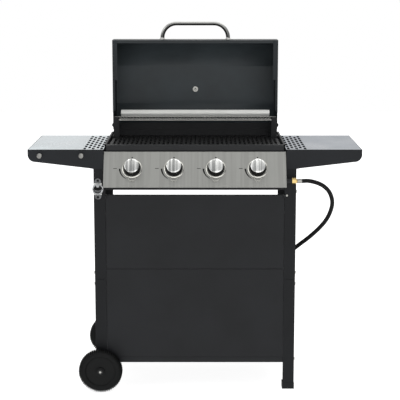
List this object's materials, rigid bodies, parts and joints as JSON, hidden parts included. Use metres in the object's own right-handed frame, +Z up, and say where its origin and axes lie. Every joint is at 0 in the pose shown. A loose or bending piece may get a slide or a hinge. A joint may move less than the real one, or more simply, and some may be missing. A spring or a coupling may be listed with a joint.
{
  "type": "gas barbecue grill",
  "caption": "Freestanding gas barbecue grill on a wheeled cart, with a roll-top lid, sloping control panel, side shelves and gas hose.",
  "frame": {"origin": "on the floor, under the centre of the box round the grill without its gas hose", "axes": "+Z up, +X to the user's right when facing the knobs, the front faces -Y"},
  "size_m": [1.15, 0.6, 1.28],
  "materials": {
    "leg_paint": "satin black powder coat",
    "panel_paint": "satin black powder coat",
    "firebox_paint": "heat-resistant black",
    "galvanised": "zinc plated",
    "plastic_black": "moulded black",
    "rubber_black": "moulded black",
    "burner_steel": "stainless",
    "ceramic": "glazed ceramic",
    "cast_iron": "enamelled",
    "rack_steel": "plated wire",
    "panel_steel": "brushed",
    "chrome": "satin chrome",
    "shelf_left_steel": "satin",
    "shelf_right_steel": "satin",
    "fastener_zinc": "zinc plated",
    "opener_grey": "grey cast metal",
    "brass": "machined",
    "hose_rubber": "matte",
    "regulator_zinc": "die-cast zinc"
  },
  "bodies": {
    "cart": {"leg_upper_front_left": "leg_paint", "leg_upper_front_right": "leg_paint", "leg_upper_rear_left": "leg_paint", "leg_upper_rear_right": "leg_paint", "leg_lower_front_left": "leg_paint", "leg_lower_front_right": "leg_paint", "leg_lower_rear_left": "leg_paint", "leg_lower_rear_right": "leg_paint", "leg_splices": "leg_paint", "front_panel_upper": "panel_paint", "front_panel_lower": "panel_paint", "bottom_shelf": "panel_paint", "cart_rails": "leg_paint", "foot_caps": "plastic_black", "firebox_front": "firebox_paint", "firebox_rear": "firebox_paint", "firebox_ends": "firebox_paint", "firebox_floor": "firebox_paint", "hinge_brackets": "firebox_paint", "burners": "burner_steel", "flame_tamers": "burner_steel", "spark_electrodes": "ceramic", "gas_manifold": "galvanised", "gas_valves": "brass", "control_panel": "panel_steel", "knob_bezels": "chrome", "shelf_top_left": "shelf_left_steel", "shelf_top_right": "shelf_right_steel", "shelf_frame_left": "panel_paint", "shelf_frame_right": "panel_paint", "tool_pegs": "chrome", "bottle_opener": "opener_grey", "axle": "fastener_zinc", "fasteners": "fastener_zinc", "gas_hose": "hose_rubber", "hose_nut": "brass", "hose_ferrule": "fastener_zinc", "regulator": "regulator_zinc"},
    "lid": {"lid_skin": "panel_paint", "lid_ends": "panel_paint", "lid_handle": "chrome", "thermometer": "chrome"},
    "rack": {"warming_rack": "rack_steel"},
    "grate_left": {"cooking_grate_left": "cast_iron"},
    "grate_right": {"cooking_grate_right": "cast_iron"},
    "tray": {"drip_tray": "galvanised"},
    "front_wheel": {"wheel_front": "rubber_black"},
    "rear_wheel": {"wheel_rear": "rubber_black"},
    "stem_1": {"valve_stem_1": "brass"},
    "turning_knob_1": {"knob_1": "plastic_black", "knob_cap_1": "chrome"},
    "stem_2": {"valve_stem_2": "brass"},
    "turning_knob_2": {"knob_2": "plastic_black", "knob_cap_2": "chrome"},
    "stem_3": {"valve_stem_3": "brass"},
    "turning_knob_3": {"knob_3": "plastic_black", "knob_cap_3": "chrome"},
    "stem_4": {"valve_stem_4": "brass"},
    "turning_knob_4": {"knob_4": "plastic_black", "knob_cap_4": "chrome"}
  },
  "joints": [
    {"name": "lid_hinge", "type": "hinge", "parent": "cart", "child": "lid", "pos_m": [0, 0.12099, 0.9], "axis": [-1, 0, 0], "range_deg": [-90, 0]},
    {"name": "rack_pivot", "type": "hinge", "parent": "lid", "child": "rack", "pos_m": [0, 0.14099, 0.928], "axis": [-1, 0, 0], "range_deg": [0, 90]},
    {"name": "grate_left_lift", "type": "slide", "parent": "cart", "child": "grate_left", "axis": [0, 0, 1], "range_m": [0, 0.04]},
    {"name": "grate_right_lift", "type": "slide", "parent": "cart", "child": "grate_right", "axis": [0, 0, 1], "range_m": [0, 0.04]},
    {"name": "tray_slide", "type": "slide", "parent": "cart", "child": "tray", "axis": [0, 1, 0], "range_m": [0, 0.3]},
    {"name": "front_wheel_spin", "type": "hinge", "parent": "cart", "child": "front_wheel", "pos_m": [-0.332, -0.26701, 0.0765], "axis": [0, -1, 0], "continuous": true},
    {"name": "rear_wheel_spin", "type": "hinge", "parent": "cart", "child": "rear_wheel", "pos_m": [-0.332, 0.18099, 0.0765], "axis": [0, -1, 0], "continuous": true},
    {"name": "knob_1_push", "type": "slide", "parent": "cart", "child": "stem_1", "axis": [0, 0.866, -0.5], "range_m": [0, 0.004], "stiffness_N_per_m": 900, "springref_m": -0.004},
    {"name": "knob_1_turn", "type": "hinge", "parent": "stem_1", "child": "turning_knob_1", "pos_m": [-0.21525, -0.26201, 0.79462], "axis": [0, -0.866, 0.5], "range_deg": [0, 180]},
    {"name": "knob_2_push", "type": "slide", "parent": "cart", "child": "stem_2", "axis": [0, 0.866, -0.5], "range_m": [0, 0.004], "stiffness_N_per_m": 900, "springref_m": -0.004},
    {"name": "knob_2_turn", "type": "hinge", "parent": "stem_2", "child": "turning_knob_2", "pos_m": [-0.07175, -0.26201, 0.79462], "axis": [0, -0.866, 0.5], "range_deg": [0, 180]},
    {"name": "knob_3_push", "type": "slide", "parent": "cart", "child": "stem_3", "axis": [0, 0.866, -0.5], "range_m": [0, 0.004], "stiffness_N_per_m": 900, "springref_m": -0.004},
    {"name": "knob_3_turn", "type": "hinge", "parent": "stem_3", "child": "turning_knob_3", "pos_m": [0.07175, -0.26201, 0.79462], "axis": [0, -0.866, 0.5], "range_deg": [0, 180]},
    {"name": "knob_4_push", "type": "slide", "parent": "cart", "child": "stem_4", "axis": [0, 0.866, -0.5], "range_m": [0, 0.004], "stiffness_N_per_m": 900, "springref_m": -0.004},
    {"name": "knob_4_turn", "type": "hinge", "parent": "stem_4", "child": "turning_knob_4", "pos_m": [0.21525, -0.26201, 0.79462], "axis": [0, -0.866, 0.5], "range_deg": [0, 180]}
  ],
  "couplings": [
    {"joint": "rack_pivot", "follows": "lid_hinge", "ratio": -1}
  ]
}
